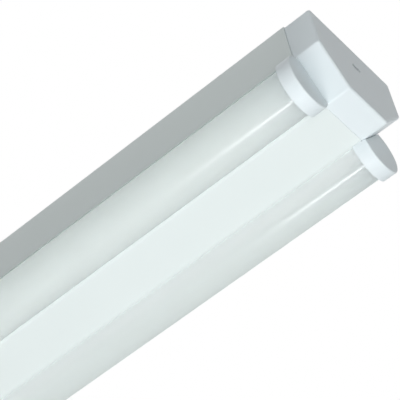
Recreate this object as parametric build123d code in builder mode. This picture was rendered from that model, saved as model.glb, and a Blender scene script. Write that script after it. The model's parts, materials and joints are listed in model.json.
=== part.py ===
from build123d import *
from math import hypot, radians, sqrt, tan
import os

# Twin LED batten for a ceiling: a white steel spine with an opal LED tube along each sloped side.
# Frame, in millimetres: the origin is the middle of the ceiling face, +Z points up at the ceiling,
# +X runs along the fixture to its near end, and +Y points to the right-hand tube.

# Spine: a base channel on the ceiling, and a gear tray that hangs inside its walls
overall_length = 600.0
body_width = 79.0
wall_drop = 32.0            # ceiling face to the fold where the slopes begin
body_depth = 54.7           # ceiling face to the flat underside
underside_width = 35.7
base_sheet = 0.8
base_bend = 2.0             # outside radius of the base's folds
tray_sheet = 0.7
tray_bend = 4.5             # outside radius of the tray's folds
flange_height = 12.0        # tray flange that reaches up inside the base's walls
wall_gap = 0.8              # shadow line between the base's walls and the tray's folds
slide_gap = 0.3             # clearance round everything that slides apart

# Ceiling fixings and cable entries in the base
fixing_spacing = 400.0
fixing_slot_length = 12.0
fixing_slot_width = 5.5
cable_entry_x = 148.0
knockout_places = (-60.0, 40.0)
knockout_radius = 10.0
score_width = 0.6
score_depth = 0.35

# Cable grommet
grommet_bore_radius = 5.0
grommet_neck_radius = 10.0
grommet_flange_radius = 13.0
grommet_flange_height = 2.0
grommet_sleeve_radius = 7.0
grommet_sleeve_height = 7.0
grommet_recess = 0.1        # top of the grommet below the ceiling face
grommet_gap = 0.2

# Spring clips that hold the tray, riveted in dimples of the base
clip_x = 172.0
clip_width = 16.0
clip_sheet = 0.6
clip_grip = 8.0             # length of leg along the tray's flange
clip_curl = 2.5
rivet_y = 12.0
rivet_radius = 1.6
rivet_head_radius = 3.0
rivet_head_height = 0.8
dimple_radius = 4.0
dimple_depth = 1.0
hole_gap = 0.1              # clearance of a fastener in its hole
thread_gap = 0.05           # clearance of a thread in its mate

# End caps
cap_length = 18.0
cap_setback = 0.6           # cap's sides and top inside the body's
cap_overhang = 0.3          # cap's underside below the body's
cap_wall = 1.8
cap_corner = 2.2
cap_edge = 1.6
cap_ledge = 2.0             # shoulder that joins the hood to its skirt
skirt_length = 7.0          # part of the cap that reaches inside the body
seam_gap = 0.15
release_slot_length = 7.8
release_slot_width = 3.2
release_slot_drop = 20.6    # ceiling face to the slot
release_web = 0.8           # end wall that is left round the slot
release_pocket_margin = 1.5

# Tubes
diffuser_radius = 14.7
diffuser_wall = 1.4
tube_stand_off = 7.65       # tube axis above the sloped wall
tube_along_slope = 16.0     # fold to tube axis, down the slope
rail_wall = 0.8
rail_lip = 1.2
rail_gap = 0.2
plug_radius = 17.3
plug_length = 9.0
plug_wall = 2.0
plug_past_seam = 2.4
plug_fit = 0.15
plug_edge = 1.0
plug_bend = 3.5             # bend in the plug's foot, tighter than the tray's so that it clears it
plug_relief = 0.35          # room under the plug where it passes over the end cap
boss_width = 10.0
boss_height = 6.0
boss_length = 18.0
boss_gap = 0.1
screw_inset = 14.0          # end of the tray to a plug screw
screw_radius = 1.4
screw_head_radius = 2.7
screw_head_height = 1.8
screw_slot = 0.7

# LED boards
board_width = 18.0
board_thickness = 1.2
board_near_gap = 2.0        # near plug's boss to the end of the board
board_wire_gap = 14.0       # far plug's boss to the end of the board, with the wires' hole between
led_length = 2.8
led_width = 3.5
led_height = 0.7
led_pitch = 12.0
led_end_margin = 18.0
connector_length = 9.0
connector_width = 8.0
connector_height = 6.0
connector_inset = 1.0
wire_hole_radius = 4.2

# Driver
driver_x = -60.0
driver_length = 150.0
driver_width = 28.0
driver_height = 20.0
driver_wall = 1.2
ear_length = 10.0
ear_width = 12.0
ear_thickness = 1.6
lid_rim = 2.0
standoff_height = 3.0
standoff_radius = 2.2
standoff_inset = 8.0
circuit_gap = 0.6
circuit_thickness = 1.6
transformer_length = 18.0
transformer_width = 17.0
transformer_height = 11.0
winding_overhang = 3.0
winding_shrink = 2.0
capacitor_radius = 4.5
capacitor_height = 11.0
capacitor_edge = 0.6
capacitor_places = (-36.0, -22.0, 30.0)
plug_block_length = 10.0
plug_block_width = 18.0
plug_block_height = 8.0
window_height = 5.0

# Terminal block and earth
terminal_x = 110.0
terminal_depth = 22.0
terminal_height = 16.0
pole_pitch = 10.5
tunnel_radius = 2.8
tunnel_height = 8.0         # tray floor to the middle of a tunnel
terminal_skin = 1.2
contact_wall = 0.8
contact_inset = 2.0
clamp_radius = 1.5
clamp_offset = 5.0          # middle of the block to a clamp screw
clamp_recess = 1.5
earth_x = 62.0
earth_stud_radius = 1.95
earth_nut_flats = 7.0
earth_nut_height = 3.2
tag_radius = 4.5
tag_thickness = 0.8
tag_barrel_length = 6.0
tag_barrel_wall = 0.7
stud_radius = 1.45
nut_flats = 5.5
nut_height = 2.4
stud_over = 1.0             # thread that shows above a nut

# Wires
mains_wire_radius = 1.1
led_wire_radius = 0.8
led_wire_pitch = 4.0        # between neighbouring LED wires along the tray
led_wire_pair = 3.0         # between the two wires of one board
wire_grip = 4.0             # wire inside a connector
arc_share = 0.45            # share of a wire's run that an arc at its end may take
mains_lead_out = 11.0       # straight run out of the terminal block
mains_arch_start = 33.0     # terminal block to the top of the arch
mains_arch_end = 24.0       # driver to the top of the arch
mains_lead_in = 10.0        # straight run into the driver
mains_arch_rise = 4.0
mains_arch_spread = 1.0
earth_lead_in = 4.0         # straight run into the earth tag
led_lead_out = 12.0         # straight run out of the driver
led_drop_run = 16.0         # run in which the LED wires come down to the floor
led_turn_run = 30.0         # run in which they rise to the hole in the slope
led_turn_depth = 9.0        # inside of the slope, where they turn through the hole
saddle_places = (0.27, 0.55)    # along the level run of the LED wires, as shares of it
saddle_share = 0.15         # length of a saddle, as a share of that run
saddle_base = 1.2
saddle_wall = 1.2
saddle_room = 0.4

# Places that several pieces share
sides = {"left": -1, "right": 1}
ends = {"near": 1, "far": -1}
body_end = overall_length / 2 - cap_length
half_width = body_width / 2
half_underside = underside_width / 2
wall_end = wall_drop - wall_gap
flange_y = half_width - base_sheet - slide_gap
flange_top = flange_height - wall_drop
tray_floor = tray_sheet - body_depth
slope_length = hypot(flange_y - half_underside, body_depth - wall_drop)
slope_y = (half_underside - flange_y) / slope_length
slope_z = (wall_drop - body_depth) / slope_length
foot_y = flange_y + tube_along_slope * slope_y
foot_z = tube_along_slope * slope_z - wall_drop
plug_face = body_end + plug_past_seam
plug_inside = plug_face - plug_wall
plug_screw_x = body_end - screw_inset
boss_end = plug_inside - boss_length
board_near = boss_end - board_near_gap
board_far = boss_end - board_wire_gap
board_length = board_near + board_far
board_middle = (board_near - board_far) / 2
board_top = diffuser_wall + board_thickness
wire_hole_x = (boss_end + board_far) / -2


def tube_section(side, x):
    """Section plane of a tube: local x runs down the slope and local y stands off it."""
    down_slope = (0, side * slope_y, slope_z)
    return Plane(origin=(x, side * foot_y, foot_z), x_dir=down_slope, z_dir=(side, 0, 0))


def slope_face(side, x):
    """Outer face of a sloped wall under its tube: local x runs along the body, local z stands off."""
    off_slope = (0, -side * slope_z, slope_y)
    return Plane(origin=(x, side * foot_y, foot_z), x_dir=(1, 0, 0), z_dir=off_slope)


def tube_point(side, x, down, off):
    """Point so far down the slope from the tube's foot, and so far off the slope."""
    y = foot_y + down * slope_y - off * slope_z
    return (x, side * y, foot_z + down * slope_z + off * slope_y)


def slope_height(y):
    """Height of the sloped walls' outer face at a distance from the middle."""
    return (y - flange_y) * slope_z / slope_y - wall_drop


def floor_plane(height=0.0):
    """Level plane so far above the tray's inside floor."""
    return Plane.XY.offset(tray_floor + height)


def save(piece, name):
    """Label a finished piece and write it."""
    piece.part.label = name
    export_step(piece.part, f"parts/{name}.step")


os.makedirs("parts", exist_ok=True)

# Base channel: back plate and upright walls, with its fixing slots and cable entries
rivet_places = [(end * clip_x, side * rivet_y) for end in ends.values() for side in sides.values()]

with BuildPart() as base_channel:
    with BuildSketch(Plane.YZ):
        with BuildLine():
            FilletPolyline(
                (-half_width, -wall_end),
                (-half_width, 0),
                (half_width, 0),
                (half_width, -wall_end),
                radius=base_bend,
            )
            offset(amount=base_sheet, side=Side.RIGHT, closed=True)
        make_face()
    extrude(amount=body_end, both=True)
    with BuildSketch(Plane.XY.offset(-base_sheet)):
        with Locations(*rivet_places):
            Circle(dimple_radius + base_sheet)
    extrude(amount=-dimple_depth)
    with BuildSketch(Plane.XY):
        with Locations(*rivet_places):
            Circle(dimple_radius)
    extrude(amount=-dimple_depth, mode=Mode.SUBTRACT)
    with BuildSketch(Plane.XY):
        with Locations(*rivet_places):
            Circle(rivet_radius + hole_gap)
        with GridLocations(fixing_spacing, 0, 2, 1):
            SlotOverall(fixing_slot_length, fixing_slot_width)
        with Locations((cable_entry_x, 0)):
            Circle(grommet_neck_radius + grommet_gap)
    extrude(amount=-(base_sheet + dimple_depth), mode=Mode.SUBTRACT)
    with BuildSketch(Plane.XY):
        with Locations(*[(x, 0) for x in knockout_places]):
            Circle(knockout_radius)
            Circle(knockout_radius - score_width, mode=Mode.SUBTRACT)
    extrude(amount=-score_depth, mode=Mode.SUBTRACT)
save(base_channel, "base_channel")

# Cable grommet: a flange under the back plate, a neck in its hole and a sleeve for the cable
with BuildPart() as cable_grommet:
    with BuildSketch(Plane.XY.offset(-base_sheet)):
        with Locations((cable_entry_x, 0)):
            Circle(grommet_flange_radius)
    extrude(amount=-grommet_flange_height)
    with BuildSketch(Plane.XY.offset(-base_sheet)):
        with Locations((cable_entry_x, 0)):
            Circle(grommet_neck_radius)
    extrude(amount=base_sheet - grommet_recess)
    with BuildSketch(Plane.XY.offset(-base_sheet - grommet_flange_height)):
        with Locations((cable_entry_x, 0)):
            Circle(grommet_sleeve_radius)
    extrude(amount=-grommet_sleeve_height)
    with BuildSketch(Plane.XY):
        with Locations((cable_entry_x, 0)):
            Circle(grommet_bore_radius)
    extrude(amount=-(base_sheet + grommet_flange_height + grommet_sleeve_height), mode=Mode.SUBTRACT)
save(cable_grommet, "cable_grommet")

# Spring clips: a strip across the back plate whose legs stop and grip the tray's flanges
clip_top = -(base_sheet + dimple_depth)
clip_leg_y = flange_y - tray_sheet - slide_gap
clip_shoulder = flange_top + slide_gap
clip_leg_end = flange_top - clip_grip
clip_right = [
    (flange_y, clip_top),
    (flange_y, clip_shoulder),
    (clip_leg_y, clip_shoulder),
    (clip_leg_y, clip_leg_end),
    (clip_leg_y - clip_curl, clip_leg_end - clip_curl),
]
clip_left = [(-y, z) for y, z in reversed(clip_right)]

for end_name, end in ends.items():
    with BuildPart() as spring_clip:
        with BuildSketch(Plane.YZ.offset(end * clip_x)):
            with BuildLine():
                Polyline(*clip_left, *clip_right)
                offset(amount=clip_sheet, side=Side.RIGHT, kind=Kind.INTERSECTION, closed=True)
            make_face()
        extrude(amount=clip_width / 2, both=True)
        with BuildSketch(Plane.XY.offset(clip_top)):
            with Locations(*rivet_places):
                Circle(rivet_radius + hole_gap)
        extrude(amount=-clip_sheet, mode=Mode.SUBTRACT)
    save(spring_clip, f"spring_clip_{end_name}")

# Rivets of the spring clips, with their upper heads sunk in the dimples
with BuildPart() as clip_rivets:
    with BuildSketch(Plane.XY.offset(-dimple_depth)):
        with Locations(*rivet_places):
            Circle(rivet_head_radius)
    extrude(amount=rivet_head_height)
    with BuildSketch(Plane.XY.offset(-dimple_depth)):
        with Locations(*rivet_places):
            Circle(rivet_radius)
    extrude(amount=-(base_sheet + clip_sheet))
    with BuildSketch(Plane.XY.offset(clip_top - clip_sheet)):
        with Locations(*rivet_places):
            Circle(rivet_head_radius)
    extrude(amount=-rivet_head_height)
save(clip_rivets, "clip_rivets")

# Gear tray: flanges, sloped walls and the flat underside, folded from one sheet
screw_seats = [slope_face(side, end * plug_screw_x) for side in sides.values() for end in ends.values()]
wire_seats = [slope_face(side, wire_hole_x) for side in sides.values()]

with BuildPart() as gear_tray:
    with BuildSketch(Plane.YZ):
        with BuildLine():
            FilletPolyline(
                (-flange_y, flange_top),
                (-flange_y, -wall_drop),
                (-half_underside, -body_depth),
                (half_underside, -body_depth),
                (flange_y, -wall_drop),
                (flange_y, flange_top),
                radius=tray_bend,
            )
            offset(amount=tray_sheet, side=Side.LEFT, closed=True)
        make_face()
    extrude(amount=body_end, both=True)
    with BuildSketch(*screw_seats):
        Circle(screw_radius + hole_gap)
    extrude(amount=2 * tray_sheet, both=True, mode=Mode.SUBTRACT)
    with BuildSketch(*wire_seats):
        Circle(wire_hole_radius)
    extrude(amount=2 * tray_sheet, both=True, mode=Mode.SUBTRACT)
save(gear_tray, "gear_tray")

# End caps: a hood that carries on the body's profile, and a skirt that slips inside the body
hood_y = half_width - cap_setback
hood_bottom = -body_depth - cap_overhang
hood_bottom_y = flange_y + (hood_bottom + wall_drop) * slope_y / slope_z
hood_right = [
    (hood_y, -cap_setback),
    (hood_y, slope_height(hood_y)),
    (hood_bottom_y, hood_bottom),
]
hood_corners = [(-y, z) for y, z in reversed(hood_right)] + hood_right
skirt_top = tray_sheet - base_sheet
skirt_right = [(flange_y, skirt_top), (flange_y, -wall_drop), (half_underside, -body_depth)]
skirt_corners = [(-y, z) for y, z in reversed(skirt_right)] + skirt_right
skirt_inset = tray_sheet + slide_gap
cap_end = overall_length / 2
hood_start = body_end + seam_gap
ledge_end = hood_start + cap_ledge
skirt_start = body_end - skirt_length
release_pocket_length = release_slot_length + 2 * release_pocket_margin
release_pocket_width = release_slot_width + 2 * release_pocket_margin

for end_name, end in ends.items():
    with BuildPart() as end_cap:
        with BuildSketch(Plane.YZ.offset(end * hood_start)) as hood:
            with BuildLine():
                Polyline(*hood_corners, close=True)
            make_face()
            fillet(hood.vertices(), cap_corner)
        extrude(amount=end * (cap_end - hood_start))
        end_face = end_cap.faces().sort_by(Axis.X)[-1 if end > 0 else 0]
        fillet(end_face.edges(), cap_edge)
        with BuildSketch(Plane.YZ.offset(end * ledge_end)) as cavity:
            with BuildLine():
                Polyline(*hood_corners, close=True)
            make_face()
            offset(amount=-cap_wall, kind=Kind.INTERSECTION, mode=Mode.REPLACE)
        extrude(amount=end * (cap_end - cap_wall - ledge_end), mode=Mode.SUBTRACT)
        with BuildSketch(Plane.YZ.offset(end * skirt_start)) as skirt:
            with BuildLine():
                Polyline(*skirt_corners, close=True)
            make_face()
            fillet(skirt.vertices(), tray_bend)
            offset(amount=-skirt_inset, kind=Kind.INTERSECTION, mode=Mode.REPLACE)
        extrude(amount=end * (ledge_end - skirt_start))
        with BuildSketch(Plane.YZ.offset(end * skirt_start)) as throat:
            with BuildLine():
                Polyline(*skirt_corners, close=True)
            make_face()
            offset(amount=-(skirt_inset + cap_wall), kind=Kind.INTERSECTION, mode=Mode.REPLACE)
        extrude(amount=end * (ledge_end - skirt_start), mode=Mode.SUBTRACT)
        with BuildSketch(Plane.YZ.offset(end * cap_end)):
            with Locations((0, -release_slot_drop)):
                SlotOverall(release_slot_length, release_slot_width)
        extrude(amount=-end * cap_wall, mode=Mode.SUBTRACT)
        with BuildSketch(Plane.YZ.offset(end * (cap_end - release_web))):
            with Locations((0, -release_slot_drop)):
                SlotOverall(release_pocket_length, release_pocket_width)
        extrude(amount=-end * (cap_wall - release_web), mode=Mode.SUBTRACT)
    save(end_cap, f"end_cap_{end_name}")

# Diffusers: round opal tubes with a flat back on the slope, and rails that hold the board
diffuser_end = plug_inside - slide_gap
half_flat = sqrt(diffuser_radius**2 - tube_stand_off**2)
rail_x = board_width / 2 + rail_gap
rail_top = board_top + rail_gap

for side_name, side in sides.items():
    with BuildPart() as diffuser:
        with BuildSketch(tube_section(side, 0)):
            with Locations((0, tube_stand_off)):
                Circle(diffuser_radius)
                Circle(diffuser_radius - diffuser_wall, mode=Mode.SUBTRACT)
            below_slope = (Align.CENTER, Align.MAX)
            Rectangle(2 * diffuser_radius, 2 * diffuser_radius, align=below_slope, mode=Mode.SUBTRACT)
            on_slope = (Align.CENTER, Align.MIN)
            Rectangle(2 * half_flat, diffuser_wall, align=on_slope)
            for edge in (-1, 1):
                with Locations((edge * (rail_x + rail_wall / 2), 0)):
                    Rectangle(rail_wall, rail_top + rail_wall, align=on_slope)
                with Locations((edge * (rail_x + rail_wall - rail_lip), rail_top)):
                    Rectangle(rail_lip, rail_wall, align=(Align.MIN if edge > 0 else Align.MAX, Align.MIN))
        extrude(amount=diffuser_end, both=True)
        with BuildSketch(*[slope_face(side, end * plug_screw_x) for end in ends.values()]):
            Circle(screw_radius + hole_gap)
        extrude(amount=diffuser_wall, mode=Mode.SUBTRACT)
        with BuildSketch(slope_face(side, wire_hole_x)):
            Circle(wire_hole_radius)
        extrude(amount=diffuser_wall, mode=Mode.SUBTRACT)
    save(diffuser, f"diffuser_{side_name}")

# Diffuser plugs: closed cups over the tube ends, each with a boss for its screw
boss_bottom = diffuser_wall + boss_gap
boss_top = boss_bottom + boss_height

for side_name, side in sides.items():
    for end_name, end in ends.items():
        inward = -end * side
        with BuildPart() as diffuser_plug:
            with BuildSketch(tube_section(side, end * plug_face)):
                with Locations((0, tube_stand_off)):
                    Circle(plug_radius)
            extrude(amount=inward * plug_length)
            plug_end = diffuser_plug.faces().sort_by(Axis.X)[-1 if end > 0 else 0]
            fillet(plug_end.edges().filter_by(GeomType.CIRCLE), plug_edge)
            with BuildSketch(tube_section(side, end * plug_inside)):
                with Locations((0, tube_stand_off)):
                    Circle(diffuser_radius + plug_fit)
            extrude(amount=inward * (plug_length - plug_wall), mode=Mode.SUBTRACT)
            with BuildSketch(Plane.YZ.offset(end * plug_face)) as seat:
                with BuildLine():
                    Polyline(*skirt_corners, close=True)
                make_face()
                fillet(seat.vertices(), plug_bend)
            extrude(amount=-end * plug_length, mode=Mode.SUBTRACT)
            with BuildSketch(Plane.YZ.offset(end * plug_face)) as relief:
                with BuildLine():
                    Polyline(*hood_corners, close=True)
                make_face()
                fillet(relief.vertices(), cap_corner)
                offset(amount=plug_relief, mode=Mode.REPLACE)
            extrude(amount=-end * (plug_past_seam + slide_gap), mode=Mode.SUBTRACT)
            with BuildSketch(tube_section(side, end * plug_inside)):
                with Locations((0, boss_bottom)):
                    Rectangle(boss_width, boss_height, align=(Align.CENTER, Align.MIN))
            extrude(amount=inward * boss_length)
            with BuildSketch(slope_face(side, end * plug_screw_x)):
                Circle(screw_radius + thread_gap)
            extrude(amount=boss_top, mode=Mode.SUBTRACT)
        save(diffuser_plug, f"diffuser_plug_{side_name}_{end_name}")

# Plug screws: pan heads inside the tray, with shanks through tray and diffuser into the plugs
with BuildPart() as plug_screws:
    with BuildSketch(*[seat.offset(-tray_sheet) for seat in screw_seats]):
        Circle(screw_head_radius)
    extrude(amount=-screw_head_height)
    with BuildSketch(*[seat.offset(-tray_sheet) for seat in screw_seats]):
        Circle(screw_radius)
    extrude(amount=tray_sheet + boss_top)
    with BuildSketch(*[seat.offset(-tray_sheet - screw_head_height) for seat in screw_seats]):
        Rectangle(2 * screw_head_radius, screw_slot)
    extrude(amount=screw_head_height / 2, mode=Mode.SUBTRACT)
save(plug_screws, "plug_screws")

# LED boards with their LEDs and connectors, on the flat backs of the diffusers
led_count = int((board_length - 2 * led_end_margin) / led_pitch) + 1
connector_x = connector_inset + connector_length / 2 - board_far
connector_face = connector_x - connector_length / 2
wire_level = board_top + connector_height / 2

for side_name, side in sides.items():
    with BuildPart() as led_board:
        with BuildSketch(slope_face(side, board_middle).offset(diffuser_wall)):
            Rectangle(board_length, board_width)
        extrude(amount=board_thickness)
    save(led_board, f"led_board_{side_name}")

    with BuildPart() as leds:
        with BuildSketch(slope_face(side, board_middle).offset(board_top)):
            with GridLocations(led_pitch, 0, led_count, 1):
                Rectangle(led_length, led_width)
        extrude(amount=led_height)
    save(leds, f"leds_{side_name}")

    with BuildPart() as led_connector:
        with BuildSketch(slope_face(side, connector_x).offset(board_top)):
            Rectangle(connector_length, connector_width)
        extrude(amount=connector_height)
        with BuildSketch(tube_section(side, connector_face)):
            with Locations((0, wire_level)):
                with GridLocations(led_wire_pair, 0, 2, 1):
                    Circle(led_wire_radius + hole_gap)
        extrude(amount=side * wire_grip, mode=Mode.SUBTRACT)
    save(led_connector, f"led_connector_{side_name}")

# Driver case: an open box with fixing ears, stand-offs for its board and windows for the wires
case_height = driver_height - driver_wall
ear_offset = (driver_length + ear_length) / 2
circuit_bottom = driver_wall + standoff_height
circuit_top = circuit_bottom + circuit_thickness
plug_block_offset = driver_length / 2 - driver_wall - slide_gap - plug_block_length / 2
driver_wire_level = circuit_top + plug_block_height / 2
driver_inside_length = driver_length - 2 * driver_wall
driver_inside_width = driver_width - 2 * driver_wall

with BuildPart() as driver_case:
    with BuildSketch(floor_plane()):
        with Locations((driver_x, 0)):
            Rectangle(driver_length, driver_width)
    extrude(amount=case_height)
    with BuildSketch(floor_plane(driver_wall)):
        with Locations((driver_x, 0)):
            Rectangle(driver_inside_length, driver_inside_width)
    extrude(amount=case_height - driver_wall, mode=Mode.SUBTRACT)
    with BuildSketch(floor_plane(driver_wall)):
        with Locations((driver_x, 0)):
            standoff_x = driver_inside_length - 2 * standoff_inset
            standoff_y = driver_inside_width - 2 * (circuit_gap + standoff_radius)
            with GridLocations(standoff_x, standoff_y, 2, 2):
                Circle(standoff_radius)
    extrude(amount=standoff_height)
    with BuildSketch(floor_plane()):
        with Locations((driver_x, 0)):
            with GridLocations(2 * ear_offset, 0, 2, 1):
                Rectangle(ear_length, ear_width)
                Circle(stud_radius + hole_gap, mode=Mode.SUBTRACT)
    extrude(amount=ear_thickness)
    with BuildSketch(floor_plane(driver_wire_level - window_height / 2)):
        with Locations((driver_x, 0)):
            with GridLocations(driver_length - driver_wall, 0, 2, 1):
                Rectangle(driver_wall, plug_block_width)
    extrude(amount=window_height, mode=Mode.SUBTRACT)
save(driver_case, "driver_case")

# Driver lid: a plate with a rim that drops inside the case
with BuildPart() as driver_lid:
    with BuildSketch(floor_plane(case_height)):
        with Locations((driver_x, 0)):
            Rectangle(driver_length, driver_width)
    extrude(amount=driver_wall)
    with BuildSketch(floor_plane(case_height)):
        with Locations((driver_x, 0)):
            Rectangle(driver_inside_length - 2 * slide_gap, driver_inside_width - 2 * slide_gap)
            Rectangle(
                driver_inside_length - 2 * slide_gap - 2 * driver_wall,
                driver_inside_width - 2 * slide_gap - 2 * driver_wall,
                mode=Mode.SUBTRACT,
            )
    extrude(amount=-lid_rim)
save(driver_lid, "driver_lid")

# Driver board, its transformer, its capacitors and the wire connectors at its ends
with BuildPart() as driver_board:
    with BuildSketch(floor_plane(circuit_bottom)):
        with Locations((driver_x, 0)):
            Rectangle(driver_inside_length - 2 * circuit_gap, driver_inside_width - 2 * circuit_gap)
    extrude(amount=circuit_thickness)
save(driver_board, "driver_board")

with BuildPart() as driver_transformer:
    with BuildSketch(floor_plane(circuit_top)):
        with Locations((driver_x, 0)):
            Rectangle(transformer_length, transformer_width)
    extrude(amount=transformer_height)
    with BuildSketch(floor_plane(circuit_top)):
        with Locations((driver_x, 0)):
            Rectangle(transformer_length + 2 * winding_overhang, transformer_width - 2 * winding_shrink)
    extrude(amount=transformer_height - winding_shrink)
save(driver_transformer, "driver_transformer")

with BuildPart() as driver_capacitors:
    with BuildSketch(floor_plane(circuit_top)):
        with Locations(*[(driver_x + x, 0) for x in capacitor_places]):
            Circle(capacitor_radius)
    extrude(amount=capacitor_height)
    fillet(driver_capacitors.edges().group_by(Axis.Z)[-1], capacitor_edge)
save(driver_capacitors, "driver_capacitors")

led_wire_rows = [step * led_wire_pitch for step in (-1.5, -0.5, 0.5, 1.5)]
mains_wire_y = plug_block_width / 4
input_face = driver_x + plug_block_offset + plug_block_length / 2
output_face = driver_x - plug_block_offset - plug_block_length / 2

with BuildPart() as driver_connectors:
    with BuildSketch(floor_plane(circuit_top)):
        with Locations((driver_x, 0)):
            with GridLocations(2 * plug_block_offset, 0, 2, 1):
                Rectangle(plug_block_length, plug_block_width)
    extrude(amount=plug_block_height)
    with BuildSketch(Plane.YZ.offset(input_face)):
        with Locations((-mains_wire_y, tray_floor + driver_wire_level)):
            Circle(mains_wire_radius + hole_gap)
        with Locations((mains_wire_y, tray_floor + driver_wire_level)):
            Circle(mains_wire_radius + hole_gap)
    extrude(amount=-wire_grip, mode=Mode.SUBTRACT)
    with BuildSketch(Plane.YZ.offset(output_face)):
        with Locations(*[(y, tray_floor + driver_wire_level) for y in led_wire_rows]):
            Circle(led_wire_radius + hole_gap)
    extrude(amount=wire_grip, mode=Mode.SUBTRACT)
save(driver_connectors, "driver_connectors")

# Terminal block: three poles with a tunnel each, screw wells above and an ear at both sides
poles = (-pole_pitch, 0.0, pole_pitch)
terminal_width = 2 * (pole_pitch + tunnel_radius + terminal_skin)
terminal_ear_offset = (terminal_depth + ear_length) / 2
tunnel_z = tray_floor + tunnel_height
contact_radius = tunnel_radius - hole_gap
contact_bore = contact_radius - contact_wall
contact_length = terminal_depth - 2 * contact_inset
clamp_places = [(terminal_x + step * clamp_offset, pole) for pole in poles for step in (-1, 1)]
clamp_bottom = tunnel_height + mains_wire_radius + hole_gap
clamp_top = terminal_height - clamp_recess

with BuildPart() as terminal_block:
    with BuildSketch(floor_plane()):
        with Locations((terminal_x, 0)):
            Rectangle(terminal_depth, terminal_width)
    extrude(amount=terminal_height)
    with BuildSketch(floor_plane()):
        with Locations((terminal_x, 0)):
            with GridLocations(2 * terminal_ear_offset, 0, 2, 1):
                Rectangle(ear_length, ear_width)
                Circle(stud_radius + hole_gap, mode=Mode.SUBTRACT)
    extrude(amount=ear_thickness)
    with BuildSketch(Plane.YZ.offset(terminal_x)):
        with Locations(*[(pole, tunnel_z) for pole in poles]):
            Circle(tunnel_radius)
    extrude(amount=terminal_depth / 2, both=True, mode=Mode.SUBTRACT)
    with BuildSketch(floor_plane(tunnel_height)):
        with Locations(*clamp_places):
            Circle(clamp_radius + slide_gap)
    extrude(amount=terminal_height - tunnel_height, mode=Mode.SUBTRACT)
save(terminal_block, "terminal_block")

with BuildPart() as terminal_contacts:
    with BuildSketch(Plane.YZ.offset(terminal_x)):
        with Locations(*[(pole, tunnel_z) for pole in poles]):
            Circle(contact_radius)
            Circle(contact_bore, mode=Mode.SUBTRACT)
    extrude(amount=contact_length / 2, both=True)
    with BuildSketch(floor_plane(tunnel_height)):
        with Locations(*clamp_places):
            Circle(clamp_radius + thread_gap)
    extrude(amount=tunnel_radius, mode=Mode.SUBTRACT)
save(terminal_contacts, "terminal_contacts")

with BuildPart() as terminal_screws:
    with BuildSketch(floor_plane(clamp_bottom)):
        with Locations(*clamp_places):
            Circle(clamp_radius)
    extrude(amount=clamp_top - clamp_bottom)
    with BuildSketch(floor_plane(clamp_top)):
        with Locations(*clamp_places):
            Rectangle(2 * clamp_radius, screw_slot)
    extrude(amount=-clamp_radius / 2, mode=Mode.SUBTRACT)
save(terminal_screws, "terminal_screws")

# Weld studs and nuts for the driver and the terminal block
stud_places = [(driver_x + step * ear_offset, 0) for step in (-1, 1)]
stud_places += [(terminal_x + step * terminal_ear_offset, 0) for step in (-1, 1)]

with BuildPart() as gear_studs:
    with BuildSketch(floor_plane()):
        with Locations(*stud_places):
            Circle(stud_radius)
    extrude(amount=ear_thickness + nut_height + stud_over)
save(gear_studs, "gear_studs")

with BuildPart() as gear_nuts:
    with BuildSketch(floor_plane(ear_thickness)):
        with Locations(*stud_places):
            RegularPolygon(nut_flats / 2, 6, major_radius=False)
            Circle(stud_radius + thread_gap, mode=Mode.SUBTRACT)
    extrude(amount=nut_height)
save(gear_nuts, "gear_nuts")

# Earth stud, nut and crimped tag on the tray's floor
tag_bore = mains_wire_radius + thread_gap
barrel_radius = tag_bore + tag_barrel_wall
barrel_start = earth_x + tag_radius
earth_level = tray_floor + barrel_radius

with BuildPart() as earth_stud:
    with BuildSketch(floor_plane()):
        with Locations((earth_x, 0)):
            Circle(earth_stud_radius)
    extrude(amount=tag_thickness + earth_nut_height + stud_over)
save(earth_stud, "earth_stud")

with BuildPart() as earth_nut:
    with BuildSketch(floor_plane(tag_thickness)):
        with Locations((earth_x, 0)):
            RegularPolygon(earth_nut_flats / 2, 6, major_radius=False)
            Circle(earth_stud_radius + thread_gap, mode=Mode.SUBTRACT)
    extrude(amount=earth_nut_height)
save(earth_nut, "earth_nut")

with BuildPart() as earth_tag:
    with BuildSketch(floor_plane()):
        with Locations((earth_x, 0)):
            Circle(tag_radius)
            Rectangle(barrel_start - earth_x + tag_barrel_wall, 2 * tag_bore, align=(Align.MIN, Align.CENTER))
            Circle(earth_stud_radius + hole_gap, mode=Mode.SUBTRACT)
    extrude(amount=tag_thickness)
    with BuildSketch(Plane.YZ.offset(barrel_start)):
        with Locations((0, earth_level)):
            Circle(barrel_radius)
    extrude(amount=tag_barrel_length)
    with BuildSketch(Plane.YZ.offset(barrel_start)):
        with Locations((0, earth_level)):
            Circle(tag_bore)
    extrude(amount=tag_barrel_length, mode=Mode.SUBTRACT)
save(earth_tag, "earth_tag")


def corner_radii(points):
    """Arc at each corner of a wire, as large as its two runs leave room for."""
    radii = []
    for before, corner, after in zip(points, points[1:], points[2:]):
        arriving = Vector(*corner) - Vector(*before)
        leaving = Vector(*after) - Vector(*corner)
        half_turn = radians(arriving.get_angle(leaving)) / 2
        radii.append(arc_share * min(arriving.length, leaving.length) / tan(half_turn))
    return radii


def make_wire(points, radius, name):
    """Round wire along straight runs and tangent arcs."""
    radii = corner_radii(points)
    with BuildPart() as wire:
        with BuildLine() as path:
            FilletPolyline(*points, radius=radii)
        with BuildSketch(Plane(origin=path.line @ 0, z_dir=path.line % 0)):
            Circle(radius)
        sweep()
    save(wire, name)
    print(name, "arc radii", [round(r, 1) for r in radii])


# Mains wires from the terminal block to the driver, in a low arch
driver_wire_z = tray_floor + driver_wire_level
wire_in_pole = terminal_x - clamp_offset / 2
block_face = terminal_x - terminal_depth / 2
arch_top = driver_wire_z + mains_arch_rise
arch_y = (pole_pitch + mains_wire_y) / 2

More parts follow.
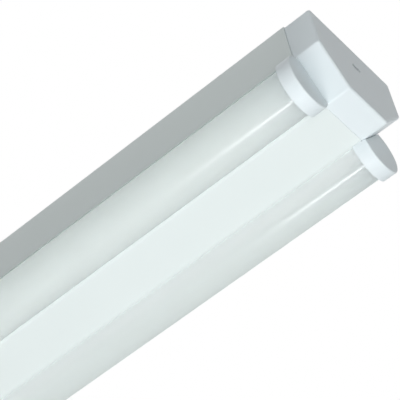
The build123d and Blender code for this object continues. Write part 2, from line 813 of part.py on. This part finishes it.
for wire_name, side in (("live_wire", -1), ("neutral_wire", 1)):
    mains_route = [
        (wire_in_pole, side * pole_pitch, tunnel_z),
        (block_face - mains_lead_out, side * pole_pitch, tunnel_z),
        (block_face - mains_arch_start, side * (arch_y + mains_arch_spread), arch_top),
        (input_face + mains_arch_end, side * arch_y, arch_top),
        (input_face + mains_lead_in, side * mains_wire_y, driver_wire_z),
        (input_face - wire_grip, side * mains_wire_y, driver_wire_z),
    ]
    make_wire(mains_route, mains_wire_radius, wire_name)

# Earth wire from the middle pole down to the tag
earth_route = [
    (wire_in_pole, 0, tunnel_z),
    (block_face - mains_lead_out, 0, tunnel_z),
    (barrel_start + tag_barrel_length + earth_lead_in, 0, earth_level),
    (barrel_start + tag_barrel_wall, 0, earth_level),
]
make_wire(earth_route, mains_wire_radius, "earth_wire")

# LED wires: out of the driver, along the tray's floor, and through the slopes to the boards
led_wire_z = tray_floor + saddle_base + led_wire_radius + hole_gap
drop_start = output_face - led_lead_out
level_start = drop_start - led_drop_run
level_end = wire_hole_x + led_turn_run

for side_name, side in sides.items():
    for polarity, step in (("minus", 0.5), ("plus", 1.5)):
        row = side * step * led_wire_pitch
        down = (1.0 - step) * led_wire_pair
        led_route = [
            (output_face + wire_grip, row, driver_wire_z),
            (drop_start, row, driver_wire_z),
            (level_start, row, led_wire_z),
            (level_end, row, led_wire_z),
            tube_point(side, wire_hole_x, down, -led_turn_depth),
            tube_point(side, wire_hole_x, down, wire_level),
            tube_point(side, connector_face + wire_grip, down, wire_level),
        ]
        make_wire(led_route, led_wire_radius, f"led_wire_{side_name}_{polarity}")

# Wire saddles that hold the four LED wires on the tray's floor
saddle_centres = [(level_start + share * (level_end - level_start), 0) for share in saddle_places]
saddle_length = saddle_share * (level_start - level_end)
saddle_inside = 3 * led_wire_pitch + 2 * (led_wire_radius + saddle_room)
saddle_height = saddle_base + 2 * led_wire_radius + saddle_room

with BuildPart() as wire_clips:
    with BuildSketch(floor_plane()):
        with Locations(*saddle_centres):
            Rectangle(saddle_length, saddle_inside + 2 * saddle_wall)
    extrude(amount=saddle_height + saddle_wall)
    with BuildSketch(floor_plane(saddle_base)):
        with Locations(*saddle_centres):
            Rectangle(saddle_length, saddle_inside)
    extrude(amount=saddle_height - saddle_base, mode=Mode.SUBTRACT)
save(wire_clips, "wire_clips")
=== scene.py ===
import json
from math import radians

import bpy
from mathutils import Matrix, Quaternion, Vector


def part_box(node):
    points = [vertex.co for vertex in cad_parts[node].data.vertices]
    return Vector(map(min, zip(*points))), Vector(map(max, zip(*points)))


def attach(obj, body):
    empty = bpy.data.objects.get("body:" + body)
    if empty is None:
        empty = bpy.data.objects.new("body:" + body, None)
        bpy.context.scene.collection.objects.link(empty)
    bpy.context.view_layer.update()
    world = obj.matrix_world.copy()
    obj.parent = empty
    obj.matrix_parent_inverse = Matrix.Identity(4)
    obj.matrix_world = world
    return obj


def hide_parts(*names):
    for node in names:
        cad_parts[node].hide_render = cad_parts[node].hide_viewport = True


# Twin LED batten seen from below: finishes, fine pieces, stage, light and camera.
# Every length is in metres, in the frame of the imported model.

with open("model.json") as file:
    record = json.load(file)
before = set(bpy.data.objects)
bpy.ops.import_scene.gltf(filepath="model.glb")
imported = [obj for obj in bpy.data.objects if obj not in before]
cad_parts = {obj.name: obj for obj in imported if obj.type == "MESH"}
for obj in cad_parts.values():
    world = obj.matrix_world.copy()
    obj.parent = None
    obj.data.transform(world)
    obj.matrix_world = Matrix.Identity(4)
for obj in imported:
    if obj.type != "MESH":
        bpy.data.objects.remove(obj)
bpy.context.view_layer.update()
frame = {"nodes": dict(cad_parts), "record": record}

# Camera, read off the photograph's edges
camera_place = Vector((0.5154, -0.5538, -0.7611))
camera_target = Vector((0.1660, 0.0255, 0.0))
camera_roll = radians(-11.95)
camera_lens = 150.6

# Stage and light
floor_height = -3.2
floor_width = 120.0
floor_white = 0.9
floor_rough = 0.8
floor_glow = 0.8            # share of the floor that stays white to the eye
room_light = 0.318
lamp_target = Vector((0.19, 0.0, 0.0))
key_place = (0.14, -0.20, -1.05)
key_size = (0.51, 0.13)
key_power = 4.3
soft_place = (0.20, -0.25, -1.75)
soft_size = (1.80, 1.80)
soft_power = 5.6
fill_place = (0.86, -0.96, -1.09)
fill_size = (0.80, 0.80)
fill_power = 5.9
top_place = (0.0, 0.0, 1.1)
top_size = (0.90, 0.30)
top_power = 4.2

# Opal tubes: less light comes through at the foot beside the underside, where the wall joins its flat back
tube_foot = 0.0190          # middle of the fixture to the tube's foot
tube_thin = 0.0255          # middle of the fixture to where the wall stands free
foot_share = 0.12           # light that comes through at the foot
thin_share = 0.66           # light that comes through the free wall

# Earth sleeve and circuit board
stripe_edge = 0.00055       # middle of the fixture to where the earth sleeve's stripe begins
copper_scale = (16.0, 30.0, 1.0)    # brick pattern, with runs about 6 mm long and 1.7 mm apart
copper_gap = 0.12

# Fine pieces
bush_bore = 0.0050
bush_neck = 0.0100
bush_neck_height = 0.0007
bush_flange_height = 0.0020
bush_sleeve = 0.0070
bush_rim = 0.0005           # rounding of the bush's rims
stud_pitch = 0.0005
earth_stud_pitch = 0.0007
thread_share = 0.61         # depth of a thread, as a share of its pitch
crest_start = 0.4           # where a thread's flat crest starts and ends, as shares of its pitch
crest_end = 0.6
tip_share = 0.5             # last crest below a stud's chamfered tip, as a share of the pitch
chamfer_share = 0.95        # round face left on a nut, as a share of its flats
screw_slot = 0.0007
screw_rim_share = 1 / 6     # rounding of a clamp screw's rim, as a share of its radius
edge_round = 0.00025        # rounding of the moulded edges
rounding_share = 0.3        # distance of a rounded corner from its sharp one, as a share of the rounding
merge_gap = 0.000001        # corners nearer than this are one
flat_angle = radians(0.5)   # faces that turn by less are one flat
sharp_angle = radians(40)   # edges that turn by more are rounded on the mouldings
smooth_angle = radians(35)  # edges that turn by less are shaded smooth


# Finishes
class Signal:
    """A node's output. Sums on it are written as plain Python and become Math nodes."""

    def __init__(self, finish, socket):
        self.finish = finish
        self.socket = socket

    def math(self, operation, *values):
        return self.finish.node("ShaderNodeMath", {"operation": operation}, dict(enumerate(values)))

    def __add__(self, other):
        return self.math("ADD", self, other)

    def __mul__(self, other):
        return self.math("MULTIPLY", self, other)

    def __gt__(self, other):
        return self.math("GREATER_THAN", self, other)

    def __abs__(self):
        return self.math("ABSOLUTE", self)

    __radd__ = __add__
    __rmul__ = __mul__


class Finish:
    """A material being mixed. Each node is added by its type, its settings and its sockets."""

    def __init__(self, name):
        self.material = bpy.data.materials.new(name)
        self.material.use_nodes = True
        self.tree = self.material.node_tree
        self.shader = self.tree.nodes["Principled BSDF"]
        self.place = self.node("ShaderNodeTexCoord", output="Object")

    def node(self, kind, settings=None, sockets=None, output=0):
        made = self.tree.nodes.new(kind)
        for name, value in (settings or {}).items():
            setattr(made, name, value)
        for name, value in (sockets or {}).items():
            self.feed(made.inputs[name], value)
        return Signal(self, made.outputs[output])

    def feed(self, socket, value):
        if isinstance(value, Signal):
            self.tree.links.new(value.socket, socket)
        else:
            socket.default_value = value

    def set(self, **sockets):
        """Put values or signals on the shader's own sockets, named with _ for a space."""
        for name, value in sockets.items():
            self.feed(self.shader.inputs[name.replace("_", " ")], value)

    def noise(self, size, detail=2.0, stretch=(1.0, 1.0, 1.0)):
        """Soft noise with patches about this size, in metres, drawn out along an axis by stretch."""
        scale = [1 / (size * s) for s in stretch]
        place = self.node("ShaderNodeMapping", None, {"Vector": self.place, "Scale": scale})
        return self.node("ShaderNodeTexNoise", None, {"Vector": place, "Scale": 1.0, "Detail": detail})

    def blend(self, share, first, second):
        """Colour between two tuples or signals. A Mix node has them as its inputs 6 and 7."""
        colours = [c if isinstance(c, Signal) else (*c, 1.0) for c in (first, second)]
        sockets = {0: share, 6: colours[0], 7: colours[1]}
        return self.node("ShaderNodeMix", {"data_type": "RGBA"}, sockets, output=2)

    def relief(self, height, depth):
        """Bumps of this depth, in metres, where the height signal goes from 0 to 1."""
        bump = self.node("ShaderNodeBump", None, {"Height": height, "Strength": 1.0, "Distance": depth})
        self.set(Normal=bump)

    def give(self, part, other):
        """Give a part of the surface, from 0 to 1, to another shader."""
        own = Signal(self, self.shader.outputs[0])
        mixed = self.node("ShaderNodeMixShader", None, {0: part, 1: own, 2: other})
        self.feed(self.tree.nodes["Material Output"].inputs["Surface"], mixed)

    def axis(self, name):
        """One coordinate of the place on the piece."""
        return self.node("ShaderNodeSeparateXYZ", None, {"Vector": self.place}, output=name)


def powder_coat():
    """White powder coat on folded steel, with its faint orange peel."""
    finish = Finish("powder coat")
    drift = finish.noise(0.06)
    peel = finish.noise(0.0014)
    finish.set(Base_Color=finish.blend(drift, (0.775, 0.848, 0.842), (0.800, 0.868, 0.862)))
    finish.set(Roughness=0.40 + 0.10 * drift, IOR=1.45, Specular_IOR_Level=0.22)
    finish.relief(peel, 0.00002)
    return finish.material


def white_moulding():
    """Satin white plastic with a fine spark-eroded grain."""
    finish = Finish("white moulding")
    drift = finish.noise(0.03)
    grain = finish.noise(0.0004)
    finish.set(Base_Color=finish.blend(drift, (0.782, 0.862, 0.892), (0.806, 0.880, 0.908)))
    finish.set(Roughness=0.36 + 0.08 * drift, Specular_IOR_Level=0.15)
    finish.set(Subsurface_Weight=0.15, Subsurface_Radius=(0.002, 0.002, 0.002), Subsurface_Scale=1.0)
    finish.relief(grain, 0.000012)
    return finish.material


def opal():
    """Opal extruded plastic: light evens out in the tube behind a skin with a soft gloss."""
    finish = Finish("opal plastic")
    lines = finish.noise(0.0006, detail=3.0, stretch=(120.0, 1.0, 1.0))
    drift = finish.noise(0.05)
    finish.set(Base_Color=finish.blend(drift, (0.860, 0.905, 0.903), (0.875, 0.915, 0.912)))
    finish.set(Roughness=0.16 + 0.05 * drift, IOR=1.49, Specular_IOR_Level=0.9)
    finish.relief(lines, 0.000002)
    wall = {
        "Value": abs(finish.axis("Y")),
        "From Min": tube_foot,
        "From Max": tube_thin,
        "To Min": foot_share,
        "To Max": thin_share,
    }
    share = finish.node("ShaderNodeMapRange", None, wall)
    through = {"Color": (0.938, 0.962, 0.960, 1.0)}
    finish.give(share, finish.node("ShaderNodeBsdfTranslucent", None, through))
    return finish.material


def metal(name, dark, bright, rough, grain, stretch):
    """Rolled or plated metal with a grain along its length."""
    finish = Finish(name)
    streaks = finish.noise(grain, detail=4.0, stretch=stretch)
    patches = finish.noise(0.004)
    finish.set(Base_Color=finish.blend(patches, dark, bright), Metallic=1.0)
    finish.set(Roughness=rough + 0.18 * streaks)
    finish.relief(streaks, 0.00001)
    return finish.material


def nylon(name, dark, bright, rough=0.42, sink=0.2):
    """Moulded plastic for the electrical pieces, with a fine grain."""
    finish = Finish(name)
    drift = finish.noise(0.008)
    grain = finish.noise(0.0005)
    finish.set(Base_Color=finish.blend(drift, dark, bright))
    finish.set(Roughness=rough + 0.12 * drift)
    finish.set(Subsurface_Weight=sink, Subsurface_Radius=(0.001, 0.001, 0.001), Subsurface_Scale=1.0)
    finish.relief(grain, 0.00002)
    return finish.material


def sleeve(name, dark, bright, rough=0.35):
    """Smooth soft plastic of a wire's sleeve or a bush."""
    finish = Finish(name)
    drift = finish.noise(0.006)
    skin = finish.noise(0.0008)
    finish.set(Base_Color=finish.blend(drift, dark, bright), Roughness=rough + 0.15 * drift)
    finish.relief(skin, 0.00001)
    return finish.material


def striped_sleeve():
    """Green earth sleeve with a yellow stripe along both of its sides."""
    finish = Finish("earth sleeve")
    stripe = abs(finish.axis("Y")) > stripe_edge
    drift = finish.noise(0.006)
    green = finish.blend(drift, (0.055, 0.235, 0.035), (0.070, 0.280, 0.045))
    yellow = finish.blend(drift, (0.74, 0.56, 0.03), (0.80, 0.62, 0.05))
    finish.set(Base_Color=finish.blend(stripe, green, yellow), Roughness=0.35 + 0.15 * drift)
    return finish.material


def circuit():
    """Green solder mask with paler copper runs under it."""
    finish = Finish("circuit board")
    place = finish.node("ShaderNodeMapping", None, {"Vector": finish.place, "Scale": copper_scale})
    brick = {"Vector": place, "Mortar Size": copper_gap}
    runs = finish.node("ShaderNodeTexBrick", {"offset": 0.5}, brick, output="Fac")
    finish.set(Base_Color=finish.blend(runs, (0.016, 0.085, 0.028), (0.050, 0.190, 0.060)))
    finish.set(Roughness=0.28 + 0.12 * finish.noise(0.004))
    finish.relief(runs, 0.00003)
    return finish.material


finishes = {
    "white_paint": powder_coat(),
    "white_moulding": white_moulding(),
    "opal": opal(),
    "board": nylon("white solder mask", (0.85, 0.86, 0.84), (0.89, 0.90, 0.88), 0.35, 0.0),
    "led": nylon("phosphor", (0.80, 0.62, 0.13), (0.86, 0.70, 0.20), 0.35, 0.3),
    "connector": nylon("connector nylon", (0.70, 0.70, 0.66), (0.78, 0.78, 0.74)),
    "bright_steel": metal("zinc plate", (0.52, 0.53, 0.53), (0.68, 0.67, 0.63), 0.22, 0.0012, (1, 1, 1)),
    "spring_steel": metal("spring steel", (0.30, 0.31, 0.33), (0.42, 0.43, 0.45), 0.25, 0.0006, (1, 60, 60)),
    "driver_plastic": nylon("driver plastic", (0.66, 0.69, 0.70), (0.72, 0.75, 0.76), 0.48),
    "circuit": circuit(),
    "ferrite": nylon("ferrite", (0.030, 0.030, 0.033), (0.055, 0.055, 0.058), 0.55, 0.0),
    "capacitor": sleeve("capacitor sleeve", (0.012, 0.015, 0.035), (0.020, 0.024, 0.050), 0.28),
    "terminal_plastic": nylon("terminal nylon", (0.74, 0.74, 0.69), (0.80, 0.80, 0.76), 0.40, 0.4),
    "brass": metal("brass", (0.62, 0.43, 0.16), (0.78, 0.60, 0.28), 0.20, 0.0012, (1, 1, 1)),
    "grommet_rubber": sleeve("bush rubber", (0.016, 0.016, 0.017), (0.034, 0.034, 0.035), 0.55),
    "clip_plastic": nylon("saddle nylon", (0.74, 0.74, 0.70), (0.80, 0.80, 0.77), 0.40, 0.4),
    "wire_brown": sleeve("live sleeve", (0.095, 0.035, 0.014), (0.125, 0.048, 0.020)),
    "wire_blue": sleeve("neutral sleeve", (0.012, 0.070, 0.300), (0.018, 0.090, 0.360)),
    "wire_green": striped_sleeve(),
    "wire_red": sleeve("plus sleeve", (0.340, 0.012, 0.012), (0.420, 0.018, 0.016)),
    "wire_black": sleeve("minus sleeve", (0.012, 0.012, 0.013), (0.024, 0.024, 0.025)),
}

slots = {subpart["node"]: subpart["material_slot"] for subpart in frame["record"]["subparts"]}
for node, slot in slots.items():
    frame["nodes"][node].material_slots[0].material = finishes[slot]


# Fine pieces, each in the place of a plainer solid
def pick(*pieces):
    """Select these pieces alone, with the first one active."""
    bpy.ops.object.select_all(action="DESELECT")
    for piece in pieces:
        piece.select_set(True)
    bpy.context.view_layer.objects.active = pieces[0]


def merged_copy(node):
    """Copy of a CAD node with its loose triangles merged."""
    piece = frame["nodes"][node].copy()
    piece.data = piece.data.copy()
    piece.parent = None
    bpy.context.collection.objects.link(piece)
    pick(piece)
    bpy.ops.mesh.customdata_custom_splitnormals_clear()
    bpy.ops.object.mode_set(mode="EDIT")
    bpy.ops.mesh.select_all(action="SELECT")
    bpy.ops.mesh.remove_doubles(threshold=merge_gap)
    bpy.ops.object.mode_set(mode="OBJECT")
    return piece


def solids_of(node):
    """Lowest and highest corner of each separate solid of a CAD node."""
    merged_copy(node)
    bpy.ops.mesh.separate(type="LOOSE")
    boxes = []
    for solid in bpy.context.selected_objects:
        boxes.append((Vector(solid.bound_box[0]), Vector(solid.bound_box[6])))
        bpy.data.objects.remove(solid)
    return boxes


def turned(rings, sides, hollow=False):
    """Round piece about the Z axis: a circle is pushed out ring by ring, each a radius and a height."""
    radius, height = rings[0]
    bpy.ops.object.select_all(action="DESELECT")
    bpy.ops.mesh.primitive_circle_add(vertices=sides, radius=radius, location=(0, 0, height))
    piece = bpy.context.object
    bpy.ops.object.mode_set(mode="EDIT")
    bpy.ops.mesh.select_all(action="SELECT")
    for wide, high in rings[1:]:
        bpy.ops.mesh.extrude_edges_move(TRANSFORM_OT_translate={"value": (0, 0, high - height)})
        bpy.ops.transform.resize(value=(wide / radius, wide / radius, 1.0), center_override=(0, 0, high))
        radius, height = wide, high
    bpy.ops.mesh.select_all(action="DESELECT")
    bpy.ops.mesh.select_non_manifold()
    if hollow:
        bpy.ops.mesh.bridge_edge_loops()
    else:
        bpy.ops.mesh.fill_holes(sides=0)
    bpy.ops.mesh.select_all(action="SELECT")
    bpy.ops.mesh.normals_make_consistent(inside=False)
    bpy.ops.object.mode_set(mode="OBJECT")
    bpy.ops.object.transform_apply(location=True, rotation=False, scale=False)
    return piece


def cut(piece, tool, operation):
    """Cut a piece with another one, which is used up."""
    pick(piece)
    modifier = piece.modifiers.new("cut", "BOOLEAN")
    modifier.operation = operation
    modifier.object = tool
    bpy.ops.object.modifier_apply(modifier=modifier.name)
    bpy.data.objects.remove(tool)


def set_out(model, places):
    """Copy a piece that is modelled at the origin to each place, and join the copies."""
    copies = []
    for place in places:
        piece = model.copy()
        piece.data = model.data.copy()
        piece.location = place
        bpy.context.collection.objects.link(piece)
        copies.append(piece)
    bpy.data.objects.remove(model)
    pick(*copies)
    bpy.ops.object.transform_apply(location=True, rotation=False, scale=False)
    if len(copies) > 1:
        bpy.ops.object.join()
    return bpy.context.object


def stand_for(piece, name, node):
    """Show a piece instead of a CAD node, with the node's finish and on its body."""
    piece.name = name
    pick(piece)
    bpy.ops.object.shade_smooth_by_angle(angle=smooth_angle)
    piece.data.materials.clear()
    piece.data.materials.append(finishes[slots[node]])
    bodies = frame["record"]["behaviour"]["bodies"]
    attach(piece, next(body for body, nodes in bodies.items() if node in nodes))
    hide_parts(node)


def feet(boxes):
    """Middle of the lower face of each box."""
    return [Vector(((low.x + high.x) / 2, (low.y + high.y) / 2, low.z)) for low, high in boxes]


# Directions along the outline of a turned piece, as changes of radius and height
upward = Vector((0, 1))
downward = Vector((0, -1))
outward = Vector((1, 0))
inward = Vector((-1, 0))


def rounded(corner, arriving, leaving, rounding):
    """Three rings that round a corner of a turned piece's outline, between two of its directions."""
    corner = Vector(corner)
    inside = rounding_share * rounding
    return [
        tuple(corner - rounding * arriving),
        tuple(corner + inside * (leaving - arriving)),
        tuple(corner + rounding * leaving),
    ]


def cable_bush():
    """Rubber bush with rounded rims and a sleeve that narrows a little to its end."""
    low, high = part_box("cable_grommet")
    flange = (high[0] - low[0]) / 2
    top = high[2]
    foot = low[2]
    sheet_face = top - bush_neck_height
    flange_foot = sheet_face - bush_flange_height
    sleeve_end = bush_sleeve - bush_rim
    rings = [
        *rounded((bush_bore, top), upward, outward, bush_rim),
        *rounded((bush_neck, top), outward, downward, bush_rim),
        (bush_neck, sheet_face),
        *rounded((flange, sheet_face), outward, downward, bush_rim),
        *rounded((flange, flange_foot), downward, inward, bush_rim),
        *rounded((bush_sleeve, flange_foot), inward, downward, 2 * bush_rim),
        *rounded((sleeve_end, foot), downward, inward, bush_rim),
        *rounded((bush_bore, foot), inward, upward, bush_rim),
    ]
    middle = Vector(((low[0] + high[0]) / 2, (low[1] + high[1]) / 2, 0))
    bush = turned(rings, sides=64, hollow=True)
    stand_for(set_out(bush, [middle]), "rounded_bush", "cable_grommet")


def threaded_stud(name, node, pitch):
    """Studs with a cut thread over their whole length and a chamfered tip."""
    boxes = solids_of(node)
    low, high = boxes[0]
    radius = (high.x - low.x) / 2
    height = high.z - low.z
    root = radius - thread_share * pitch
    rings = [(root, 0)]
    for turn in range(int(height / pitch) - 1):
        rings.append((radius, (turn + crest_start) * pitch))
        rings.append((radius, (turn + crest_end) * pitch))
        rings.append((root, (turn + 1) * pitch))
    rings.append((radius, rings[-1][1] + tip_share * pitch))
    rings.append((root, height))
    stand_for(set_out(turned(rings, sides=32), feet(boxes)), name, node)


def hexagon_nut(name, node, stud_node):
    """Nuts with their corners turned off at both faces."""
    boxes = solids_of(node)
    low, high = boxes[0]
    flats = high.y - low.y
    corner = (high.x - low.x) / 2
    height = high.z - low.z
    stud_low, stud_high = solids_of(stud_node)[0]
    bore = (stud_high.x - stud_low.x) / 2
    face = chamfer_share * flats / 2
    rise = (corner - face) / 2
    bpy.ops.object.select_all(action="DESELECT")
    bpy.ops.mesh.primitive_cylinder_add(
        vertices=6, radius=corner, depth=height, location=(0, 0, height / 2), rotation=(0, 0, radians(30))
    )
    nut = bpy.context.object
    bpy.ops.object.transform_apply(location=True, rotation=True, scale=False)
    turned_off = turned([(face, 0), (corner, rise), (corner, height - rise), (face, height)], sides=48)
    cut(nut, turned_off, "INTERSECT")
    cut(nut, turned([(bore, -rise), (bore, height + rise)], sides=32), "DIFFERENCE")
    stand_for(set_out(nut, feet(boxes)), name, node)


def clamp_screws():
    """Slotted screws with a rounded head rim."""
    boxes = solids_of("terminal_screws")
    low, high = boxes[0]
    radius = (high.x - low.x) / 2
    height = high.z - low.z
    rim = screw_rim_share * radius
    rings = [(radius - rim, 0), (radius, rim), *rounded((radius, height), upward, inward, rim)]
    screw = turned(rings, sides=32)
    slot_size = (3 * radius, screw_slot, radius)
    bpy.ops.mesh.primitive_cube_add(size=1.0, location=(0, 0, height), scale=slot_size)
    slot_tool = bpy.context.object
    bpy.ops.object.transform_apply(location=True, rotation=False, scale=True)
    cut(screw, slot_tool, "DIFFERENCE")
    stand_for(set_out(screw, feet(boxes)), "slotted_clamp_screws", "terminal_screws")


def soft_moulding(name, node):
    """Copy of a moulding with its edges rounded, as it leaves its tool."""
    piece = merged_copy(node)
    bpy.ops.object.mode_set(mode="EDIT")
    bpy.ops.mesh.select_all(action="SELECT")
    bpy.ops.mesh.dissolve_limited(angle_limit=flat_angle)
    bpy.ops.object.mode_set(mode="OBJECT")
    rounding = piece.modifiers.new("rounded edges", "BEVEL")
    rounding.width = edge_round
    rounding.segments = 2
    rounding.limit_method = "ANGLE"
    rounding.angle_limit = sharp_angle
    rounding.use_clamp_overlap = False
    bpy.ops.object.modifier_apply(modifier=rounding.name)
    stand_for(piece, name, node)


cable_bush()
hexagon_nut("chamfered_nuts", "gear_nuts", "gear_studs")
hexagon_nut("chamfered_earth_nut", "earth_nut", "earth_stud")
threaded_stud("threaded_studs", "gear_studs", stud_pitch)
threaded_stud("threaded_earth_stud", "earth_stud", earth_stud_pitch)
clamp_screws()
soft_moulding("soft_driver_case", "driver_case")
soft_moulding("soft_driver_lid", "driver_lid")
soft_moulding("soft_terminal_block", "terminal_block")


# Stage: a pale floor far below the ceiling, and a white surround
def lit_white(tree, seen, unseen):
    """Join two shaders so that eye, mirror and glass see the first and other light meets the second."""
    path = tree.nodes.new("ShaderNodeLightPath")
    first = tree.nodes.new("ShaderNodeMath")
    first.operation = "MAXIMUM"
    tree.links.new(path.outputs["Is Camera Ray"], first.inputs[0])
    tree.links.new(path.outputs["Is Glossy Ray"], first.inputs[1])
    either = tree.nodes.new("ShaderNodeMath")
    either.operation = "MAXIMUM"
    tree.links.new(first.outputs[0], either.inputs[0])
    tree.links.new(path.outputs["Is Transmission Ray"], either.inputs[1])
    mix = tree.nodes.new("ShaderNodeMixShader")
    tree.links.new(either.outputs[0], mix.inputs[0])
    tree.links.new(unseen.outputs[0], mix.inputs[1])
    tree.links.new(seen.outputs[0], mix.inputs[2])
    return mix


def make_world():
    """White to the eye, and an even grey light on the object."""
    world = bpy.data.worlds.new("white surround")
    world.use_nodes = True
    bpy.context.scene.world = world
    tree = world.node_tree
    grey = tree.nodes["Background"]
    grey.inputs["Color"].default_value = (room_light, room_light, room_light, 1.0)
    white = tree.nodes.new("ShaderNodeBackground")
    white.inputs["Color"].default_value = (1.0, 1.0, 1.0, 1.0)
    mix = lit_white(tree, white, grey)
    tree.links.new(mix.outputs[0], tree.nodes["World Output"].inputs["Surface"])


def make_floor():
    """Wide pale floor that stays nearly white to the eye and keeps a soft shadow."""
    bpy.ops.object.select_all(action="DESELECT")
    bpy.ops.mesh.primitive_plane_add(size=floor_width, location=(0, 0, floor_height))
    bpy.ops.object.transform_apply(location=True, rotation=False, scale=False)
    floor = bpy.context.object
    floor.name = "floor"
    material = bpy.data.materials.new("pale floor")
    material.use_nodes = True
    tree = material.node_tree
    matt = tree.nodes["Principled BSDF"]
    matt.inputs["Base Color"].default_value = (floor_white, floor_white, floor_white, 1.0)
    matt.inputs["Roughness"].default_value = floor_rough
    glow = tree.nodes.new("ShaderNodeEmission")
    pale = tree.nodes.new("ShaderNodeMixShader")
    pale.inputs[0].default_value = floor_glow
    tree.links.new(matt.outputs[0], pale.inputs[1])
    tree.links.new(glow.outputs[0], pale.inputs[2])
    mix = lit_white(tree, pale, matt)
    tree.links.new(mix.outputs[0], tree.nodes["Material Output"].inputs["Surface"])
    floor.data.materials.append(material)


def make_light(name, place, size, power, shines=True):
    """Soft rectangular lamp, turned to the object, that the camera doesn't see."""
    turn = (lamp_target - Vector(place)).to_track_quat("-Z", "Y").to_euler()
    bpy.ops.object.light_add(type="AREA", location=place, rotation=turn)
    lamp = bpy.context.object
    lamp.name = name
    lamp.data.shape = "RECTANGLE"
    lamp.data.size, lamp.data.size_y = size
    lamp.data.energy = power
    lamp.visible_camera = False
    lamp.visible_glossy = shines


make_world()
make_floor()
make_light("key light below", key_place, key_size, key_power)
make_light("soft light below", soft_place, soft_size, soft_power)
make_light("fill light", fill_place, fill_size, fill_power)
make_light("top light", top_place, top_size, top_power, shines=False)

# Camera
bpy.ops.object.camera_add(location=camera_place)
camera = bpy.context.object
aim = (camera_target - camera_place).to_track_quat("-Z", "Y") @ Quaternion((0, 0, 1), camera_roll)
camera.rotation_euler = aim.to_euler()
camera.data.lens = camera_lens
bpy.context.scene.camera = camera
bpy.context.scene.view_settings.view_transform = "Standard"
